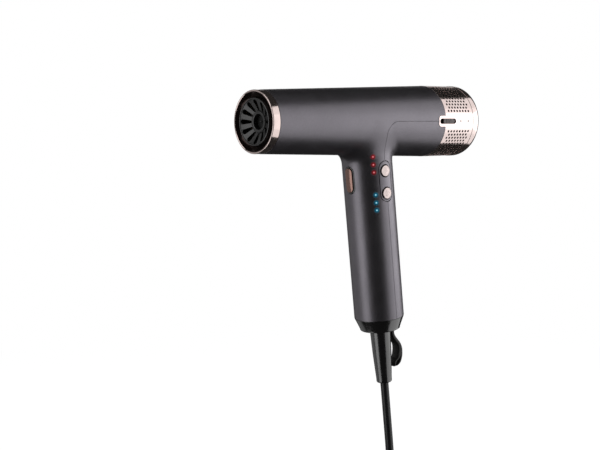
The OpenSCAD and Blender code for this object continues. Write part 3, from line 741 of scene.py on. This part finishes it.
def shell(work, rear, grow, wall=2.0):
    """One of the two shells of the skin, given its thickness."""
    part = work.copy()
    region = seam_region(grow)
    for (y0, z0), (y1, z1) in list(zip(region, region[1:]))[:10]:
        along = Vector((0, y1 - y0, z1 - z0)).normalized()
        middle = Vector((0, (y0 + y1) / 2, (z0 + z1) / 2)) * MM
        reach = math.hypot(y1 - y0, z1 - z0) / 2 * MM + 0.003
        near = [f for f in part.faces if abs((f.calc_center_median() - middle).dot(along)) < reach]
        geom = list({v for f in near for v in f.verts}) + list({e for f in near for e in f.edges}) + near
        bmesh.ops.bisect_plane(part, geom=geom, dist=1e-7, plane_co=middle,
                               plane_no=along.cross(Vector((1, 0, 0))))
    middles = np.array([f.calc_center_median() for f in part.faces]) / MM
    is_rear = inside(middles[:, 1:], region)
    bmesh.ops.delete(part, geom=[f for f, r in zip(part.faces[:], is_rear) if r != rear], context="FACES")
    part.verts.index_update()
    outer = np.array([v.co for v in part.verts]) / MM
    inner = outer - wall * skin_normals(outer)
    count = len(outer)
    faces = [[v.index for v in f.verts] for f in part.faces]
    rims = []
    for e in part.edges:
        if len(e.link_loops) == 1:
            l = e.link_loops[0]
            rims.append((l.vert.index, l.link_loop_next.vert.index))
    faces += [[k + count for k in reversed(f)] for f in faces]
    faces += [[b, a, a + count, b + count] for a, b in rims]
    part.free()
    return loose(mesh_of("shell", np.vstack([outer, inner]), faces))


def handle_block(outline, outer, inner):
    """A cutter over part of the handle's wall, in the barrel's frame. outline is (down, round)."""
    return loose(plate("block", outline, [], outer, inner, LEAN, round_z, step=(30, 3), bevel=0))


PANEL_S, PANEL, TEMPERATURE_S, SPEED_S, COOL_S = 49.0, (33.4, 12.8), 40.4, 58.9, 46.1
KEY_HOLE_R = 5.4
FRONT_V = -HANDLE_R * math.pi / 2           # arc length from the button side round to the front


def tongue_outline(grow):
    """The cover's tongue, in (Y, arc length), open towards the rear."""
    r, y0, w = 2.6 + grow, 58.7 - grow, 4.5 + grow
    return arc((y0 + r, -w + r), r, 180, 270, 6), arc((y0 + r, w - r), r, 90, 180, 6)


def cut_shell(obj):
    low, high = tongue_outline(0.3)
    notch = plate("notch", high + low + [(72, -4.8), (72, 4.8)], [], 33, 26, None, round_y, step=(4, 2), bevel=0)
    cut_by(obj, loose(notch))
    cut_by(obj, handle_block(pill((PANEL_S, 0), PANEL[0] + 1.0, PANEL[1] + 1.0), 24, 19.3))
    for s in (TEMPERATURE_S, SPEED_S):
        bore = lathe("bore", [(0, 19.0), (KEY_HOLE_R, 19.0), (KEY_HOLE_R, 26), (0, 26)], None, axis="Z",
                     segments=48)
        bore.transform(LEAN @ Matrix.Translation((0, 0, -s * MM)) @ Matrix.Rotation(math.pi / 2, 4, "Y"))
        cut_by(obj, loose(bore))
    cut_by(obj, handle_block(pill((COOL_S, FRONT_V), 23.2, 10.6), 24, 17))


skin = blended_skin()
SEAM_GAP = 0.16                             # how far each shell keeps back from the seam
for name, rear, grow, node in (("shell_front", False, SEAM_GAP, "front_housing"),
                               ("shell_rear", True, -SEAM_GAP, "rear_cover")):
    obj = shell(skin, rear, grow)
    cut_shell(obj)
    mesh = taken(obj, 0.0)
    aim(mesh, skin_normals, within=0.97)
    mesh.transform(BARREL)
    finish_piece(name, mesh, "housing", GREY, [node])
skin.free()

# ---- outlet
ring_profile = [(23.0, FRONT_Y), (24.2, FRONT_Y), (24.5, FRONT_Y - 0.3)]
ring_profile += arc((23.9, FRONT_Y - 6.4), 0.6, 0, -90, 6) + [(23.5, FRONT_Y - 7.0), (23.2, FRONT_Y - 6.8)]
ring_profile += [(23.1, FRONT_Y - 6.5), (23.0, FRONT_Y - 6.0)]
turned_piece("outlet_bezel", ring_profile, "housing", "rose_gold", ROSE, "outlet_ring", segments=160)
# The ring's inner wall, in the dark painted-shade metal.
throat_profile = [(22.5, FRONT_Y + 4), (22.5, FRONT_Y - 0.1), (22.95, FRONT_Y - 0.1), (22.95, FRONT_Y - 6.35),
                  (22.7, FRONT_Y - 6.5), (21.2, FRONT_Y - 5.0), (19.6, FRONT_Y - 3.8), (18.7, FRONT_Y - 3.4),
                  (18.4, FRONT_Y - 3.0), (18.4, FRONT_Y + 4)]
turned_piece("outlet_throat", throat_profile, "housing", "black_gloss", THROAT_SHADE, "outlet_ring", segments=160)


def grille_mesh():
    """Twelve tapered slots in a cone round the hub."""
    y = FRONT_Y
    profile = [(18.35, y - 6.1), (18.2, y - 6.5), (17.8, y - 6.65), (17.4, y - 6.55), (17.15, y - 6.1),
               (8.9, y - 1.4), (8.5, y - 1.8), (8.2, y - 2.3), (6.5, y - 2.3), (6.1, y - 2.1), (6.02, y - 1.7),
               (6.02, y + 3), (8.6, y + 3), (8.6, y + 0.7), (17.1, y - 4.2), (17.1, y + 4), (18.35, y + 4)]
    obj = loose(lathe("grille", profile, None, segments=144))
    outline = arc((14.85, 0), 2.1, -75, 75, 8) + arc((9.9, 0), 1.1, 105, 255, 6)
    for k in range(12):
        turned = Matrix.Rotation(math.radians(30 * k), 4, "Y")
        cut_by(obj, loose(plate("slot", outline, [], y - 10, y + 6, turned, flat_y, step=(9, 9), bevel=0)))
    mesh = taken(obj, 0.14, angle=50)
    mesh.transform(BARREL)
    return mesh


finish_piece("outlet_grate", grille_mesh(), "housing", GRATE, ["outlet_grille"])


# ---- air inlet
HOLE_PITCH, HOLE_R = 3.55, 1.05


def drum_mesh():
    """The perforated cover: staggered rows of holes between two plain bands, and the latch's tongue."""
    turn = math.pi * DRUM_R
    low, high = tongue_outline(0)
    outline = [(66.8, v) for v in np.linspace(turn, 4.5, 60)] + high + low \
        + [(66.8, v) for v in np.linspace(-4.5, -turn, 60)] + [(101, v) for v in np.linspace(-turn, turn, 120)]
    holes = [pill((69.5, 0), 19.8, 4.5)]
    for i in range(27):
        for k in range(8 - i % 2):
            centre = (71.2 + HOLE_PITCH * (k + 0.5 * (i % 2)), DRUM_R * math.radians(90 + 5.65 * (i - 13)))
            holes += [circle((centre[0], side * centre[1]), HOLE_R, 12) for side in (1, -1)]
    return plate("cover_drum", outline, holes, 30.3, 29.8, BARREL, round_y, step=(HOLE_PITCH, 1.5), bevel=0.05,
                 round_about=barrel_normals)


finish_piece("cover_drum", drum_mesh(), "filter", DRUM, ["filter_cover"])
sleeve_profile = [(28.55, 73), (28.55, 100.7), (28.0, 100.7), (28.0, 73)]
turned_piece("filter_sleeve", sleeve_profile, "filter", "mesh", LOOKS["mesh"], "filter_mesh")
end_profile = [(30.35, 101.12), (30.5, 101.3), (30.5, 105)] + arc((23.0, 105), 7.5, 0, 58, 12)[1:] \
    + arc((26.9, 110.8), 0.6, 75, 165, 5) \
    + [(25.4, 109.6), (23.6, 109.0), (23.4, 108.6), (23.4, 105.0), (27.0, 104.6), (27.2, 101.12)]
turned_piece("cover_rim", end_profile, "filter", "rose_gold", ROSE, "cover_end_ring", segments=160)
disc_profile = [(0, 107.3), (6, 107.32), (10, 107.4), (14, 107.62), (18, 108.0), (22.4, 108.8), (23.1, 108.9),
                (23.35, 108.6), (23.35, 106), (14, 105.4), (0, 105.4)]
turned_piece("cover_disc", disc_profile, "filter", "black_matte", MATTE, "cover_end_disc", segments=144)
LATCH_Y = 72.0
latch_outline = pill((LATCH_Y, 0), 14.6, 4.3)


def ridged(u, v, r):
    """The latch's face, with low grip ribs across its middle."""
    along = u - LATCH_Y
    rib = 0.22 * (0.5 + 0.5 * math.cos(along * 2 * math.pi / 1.6)) if abs(along) < 4.0 and r > 29 else 0.0
    return round_y(u, v, r + rib * max(0.0, 1 - (v / 1.9) ** 4))


finish_piece("latch_slider", plate("latch_slider", latch_outline, [], 29.5, 28.8, BARREL, ridged, step=(0.4, 0.7),
                                   bevel=0.1), "latch",
             plain("latch_grey", rgb(0.13, 0.115, 0.115), 0.35, metallic=0.4, vary=0.1, grain=1200),
             ["cover_latch"])

# ---- controls
panel_outline = pill((PANEL_S, 0), PANEL[0] - 0.5, PANEL[1] - 0.5, 20)
panel_holes = [circle((s, 0), KEY_HOLE_R, 40) for s in (TEMPERATURE_S, SPEED_S)]
finish_piece("key_panel", plate("key_panel", panel_outline, panel_holes, HANDLE_R, 19.4, HANDLE, round_z,
                                step=(2, 1.4), bevel=0.22, round_about=handle_normals),
             "housing", GREY, ["button_panel"])
for name, body, s, icon in (("temperature_disc", "temperature_key", TEMPERATURE_S, "heat"),
                            ("speed_disc", "speed_key", SPEED_S, "fan")):
    profile = [(0, 17.9), (1.8, 17.9), (1.8, 20.4), (4.45, 20.5), (4.6, 20.65), (4.6, 21.15)] \
        + arc((4.2, 21.2), 0.4, 0, 70, 5) + [(3.9, 21.55), (2.5, 21.64), (0, 21.68)]
    centre = HANDLE @ Vector((21.6 * MM, 0, -s * MM))
    place = HANDLE @ Matrix.Translation((0, 0, -s * MM)) @ Matrix.Rotation(math.pi / 2, 4, "Y")
    mesh = lathe(name, profile, place, axis="Z", segments=64)
    finish_piece(name, mesh, body, etched_button(name, centre, icon),
                 [name.replace("disc", "button")])
finish_piece("cool_bezel", plate("cool_bezel", pill((COOL_S, FRONT_V), 22.2, 9.6, 16),
                                 [pill((COOL_S, FRONT_V), 20.7, 8.2, 16)], 21.1, 18.6, HANDLE, round_z,
                                 step=(2, 1.4), bevel=0.3),
             "housing", GLOSS, ["cool_shot_bezel"])


def crowned(u, v, r):
    """The cool shot key, a little fuller along its middle."""
    edge = max(0.0, 1 - ((v - FRONT_V) / 3.7) ** 2) * max(0.0, 1 - ((u - COOL_S) / 10.1) ** 4)
    return round_z(u, v, r + (0.35 * edge if r > 20 else 0.0))


key = plate("cool_key", pill((COOL_S, FRONT_V), 19.8, 7.2, 16), [], 22.1, 18.7, HANDLE, crowned, step=(1.2, 0.8),
            bevel=0.35)
finish_piece("cool_key", key, "cool_shot_key", GOLD_BROWN, ["cool_shot_button"])


LED_ANGLE, HALO_R, LENS_R = math.radians(-29.5), 3.0, 1.3


def led_mesh(name, rows):
    """Low lenses that follow the skin, with a glow value that falls from the middle to the rim."""
    out = np.array((math.cos(LED_ANGLE), math.sin(LED_ANGLE) * COS, math.sin(LED_ANGLE) * SIN))
    down = np.array((0, SIN, -COS))
    side = np.cross(out, down)
    radii = (0, 0.3, 0.6, 0.9, 1.15, LENS_R, 1.8, 2.4, HALO_R)
    points, faces, glow, around = [], [], [], 32
    for s in rows:
        base, start = s * down + HANDLE_R * out, len(points)
        for r in radii:
            for k in range(around if r else 1):
                a = 2 * math.pi * k / around
                q = base + r * (math.cos(a) * side + math.sin(a) * down)
                rise = 0.03 + 0.12 * max(0.0, 1 - (r / LENS_R) ** 2) - (0.05 if r == HALO_R else 0.0)
                for _ in range(6):
                    q = q - (skin_distance(q[None])[0] - rise) / max(skin_normals(q[None])[0] @ out, 0.3) * out
                points.append(q)
                glow.append(1 - r / HALO_R)
        points += [points[-around + k] - 0.5 * out for k in range(around)]
        glow += [0.0] * around
        faces += [(start, start + 1 + k, start + 1 + (k + 1) % around) for k in range(around)]
        for i in range(len(radii) - 1):
            first = start + 1 + i * around
            faces += [(first + k, first + around + k, first + around + (k + 1) % around, first + (k + 1) % around)
                      for k in range(around)]
        faces.append([len(points) - 1 - k for k in range(around)])
    mesh = soften(mesh_of(name, points, faces, BARREL), 0.0, crease=50)
    found = np.array([v.co for v in mesh.vertices]) / MM - np.array(BARREL.translation) / MM
    known = np.array(points)
    value = [glow[int(((known - p) ** 2).sum(1).argmin())] for p in found]
    mesh.attributes.new("glow", "FLOAT", "POINT").data.foreach_set("value", value)
    return mesh


for colour, look, rows in (("red", RED, (27.6, 34.1, 40.4)), ("blue", BLUE, (58.9, 65.4, 71.6))):
    finish_piece(f"{colour}_lamps", led_mesh(f"{colour}_lamps", rows), "housing", look,
                 [f"{colour}_light_pipes"])

# ---- handle's foot
cap_profile = [(18.9, -158.2), (18.9, -165.0), (20.5, -165.12), (20.85, -165.3), (20.8, -165.8), (16.95, -175.1)] \
    + arc((16.2, -175.4), 0.8, 20, -90, 5) \
    + [(9.05, -176.2), (9.0, -175.9), (9.0, -170.6), (15, -170.6), (17.4, -166.0), (17.4, -158.2)]
LOOP_PIN = (11.3, -173.6)                   # the loop's swivel, rearwards and up
LOOP_HALF, SLOT_HALF = 4.25, 4.45
cap = loose(lathe("cap", cap_profile, None, axis="Z", segments=144))
for outline in (circle(LOOP_PIN, 1.8), [(9.5, -173.6), (9.5, -178), (19.0, -178), (13.3, -173.6)]):
    cut_by(cap, loose(plate("slot", outline, [], SLOT_HALF, -SLOT_HALF, None, flat_x, step=(9, 9), bevel=0)))
cap_mesh = taken(cap, 0.0)
cap_mesh.transform(HANDLE)
finish_piece("foot_cap", cap_mesh, "housing", GLOSS, ["handle_end_cap"])

relief_profile = [(0, -170.05), (9.95, -170.05), (9.95, -170.55), (8.88, -170.6), (8.9, -176), (8.6, -183),
                  (8.1, -196), (7.65, -204), (7.15, -212), (6.6, -220.5)] \
    + arc((5.5, -222.1), 1.15, 8, -90, 8) \
    + [(4.6, -223.2), (3.9, -222.9), (3.6, -221.8), (0, -221.8)]
turned_piece("relief_sleeve", relief_profile, "housing", "rubber", RUBBER, "strain_relief", HANDLE, axis="Z",
             segments=96)

STRAP_SIDE = [(12.5, 176), (12.3, 180), (12.2, 183.2), (13.7, 186.3), (16.1, 189.5), (18.4, 192.7), (19.7, 195.7),
              (20.3, 198.6), (20.2, 201.2), (19.9, 203.8), (19.1, 206.3), (17.9, 208.7), (16.3, 210.9), (14.9, 212.5),
              (13.6, 213.2), (12.2, 213.1), (10.9, 212.2), (10.2, 210.8), (10.4, 209.2), (11.4, 207.6), (12.9, 206.4),
              (14.6, 205.6), (15.2, 204.1), (16.2, 200.9), (16.7, 197.4), (16.3, 193.8), (14, 190.6), (11.4, 186.8),
              (10, 182.6), (10.1, 179), (10.1, 176)]
STRAP_EYE = [(18.4, 204.2), (17.8, 206), (16.7, 208.1), (15.3, 210), (14.2, 211.2), (13.2, 211.8), (12.3, 211.6),
             (11.7, 210.8), (11.7, 209.6), (12.4, 208.4), (13.6, 207.4), (15.2, 206.6), (16.5, 205.3)]


def closed(points, steps=4, keep=0):
    """A smooth closed outline through (rearwards, down) points; the last keep of them are joined straight."""
    n = len(points)
    points = [(b, -s) for b, s in points]
    loop = []
    for i in range(n):
        a, b, c, d = (Vector(points[(i + k) % n]) for k in (-1, 0, 1, 2))
        if i >= n - keep:
            loop.append(tuple(b))
            continue
        loop += [tuple(between(a, b, c, d, k / steps)) for k in range(steps)]
    return loop


def tongue(u, v, level):
    """The strap's side view given its width, which narrows in a round end."""
    low = min(max(0.0, -209.0 - v), 4.2)
    return (level * math.sqrt(1 - (low / LOOP_HALF) ** 2), u, v)


bead = arc(LOOP_PIN, 1.5, -60, 225, 16)
strap_outline = bead + list(reversed(closed(STRAP_SIDE, keep=1)))
strap_mesh = plate("hanging_strap", strap_outline, [closed(STRAP_EYE)], LOOP_HALF, -LOOP_HALF, HANDLE, tongue,
                   step=(3, 3), bevel=0.4)
finish_piece("hanging_strap", strap_mesh, "loop", STRAP, ["hang_loop"])

# ---- stage and light
floor_nodes = Nodes("floor")
tree = floor_nodes.tree
radial = floor_nodes.add("ShaderNodeVectorMath", {0: floor_nodes.place}, operation="LENGTH").outputs["Value"]
far = floor_nodes.spread(radial, 0.0, 1.0, 0.35, 0.85)
pale = floor_nodes.add("ShaderNodeBsdfDiffuse", {"Color": rgb(0.8, 0.8, 0.8)})
glow = floor_nodes.add("ShaderNodeEmission", {"Color": rgb(1, 1, 1), "Strength": 0.8})
near = floor_nodes.add("ShaderNodeAddShader", {0: pale.outputs[0], 1: glow.outputs[0]})
white = floor_nodes.add("ShaderNodeEmission", {"Color": rgb(1, 1, 1), "Strength": 1.0})
seen = floor_nodes.add("ShaderNodeMixShader", {0: far, 1: near.outputs[0], 2: white.outputs[0]})
dim = floor_nodes.add("ShaderNodeBsdfDiffuse", {"Color": rgb(0.16, 0.155, 0.15)})
ray = floor_nodes.add("ShaderNodeLightPath").outputs["Is Camera Ray"]
both = floor_nodes.add("ShaderNodeMixShader", {0: ray, 1: dim.outputs[0], 2: seen.outputs[0]})
tree.links.new(both.outputs[0], tree.nodes["Material Output"].inputs[0])
bpy.ops.mesh.primitive_circle_add(vertices=96, radius=6.0, fill_type="NGON", location=(0, 0, (FLOOR - 0.1) * MM))
floor = bpy.context.object
floor.name = "floor"
floor.data.materials.append(floor_nodes.material)
floor.visible_glossy = floor.visible_diffuse = floor.visible_shadow = False

world = bpy.data.worlds.new("studio")
bpy.context.scene.world = world
world.use_nodes = True
sky = world.node_tree
sky.nodes.clear()
unseen, seen = (add_node(sky, "ShaderNodeBackground", {0: tone}).outputs[0]
                for tone in (rgb(0.02, 0.02, 0.0194), rgb(1.0, 1.0, 1.0)))
ray = add_node(sky, "ShaderNodeLightPath").outputs["Is Camera Ray"]
join = add_node(sky, "ShaderNodeMixShader", {0: ray, 1: unseen, 2: seen})
add_node(sky, "ShaderNodeOutputWorld", {0: join.outputs[0]})


def softbox(name, azimuth, elevation, distance, width, height, radiance):
    """A soft light that faces the barrel, placed by the view's azimuth. radiance is its brightness."""
    light = bpy.data.lights.new(name, "AREA")
    light.shape, light.size, light.size_y = "RECTANGLE", width, height
    light.energy = radiance * math.pi * width * height
    obj = bpy.data.objects.new(name, light)
    a, e = math.radians(azimuth), math.radians(elevation)
    back = Vector((math.sin(a) * math.cos(e), -math.cos(a) * math.cos(e), math.sin(e)))
    obj.location = BARREL.translation + back * distance
    obj.rotation_mode = "QUATERNION"
    obj.rotation_quaternion = back.to_track_quat("Z", "Y")
    obj.visible_camera = False
    bpy.context.scene.collection.objects.link(obj)


softbox("right_wide", 138, 0, 0.9, 1.4, 1.75, 0.85)
softbox("right_middle", 148, 0, 0.88, 1.05, 0.8, 0.2)
softbox("right_core", 155, 0, 0.86, 0.6, 0.5, 0.8)
softbox("left_box", -12, 0, 0.9, 0.62, 1.6, 1.25)
softbox("left_wide", -68, 0, 0.9, 1.1, 1.6, 0.28)
softbox("back_box", 228, 5, 1.2, 0.9, 0.7, 0.45)
softbox("top_box", 60, 80, 1.0, 0.9, 0.9, 0.3)
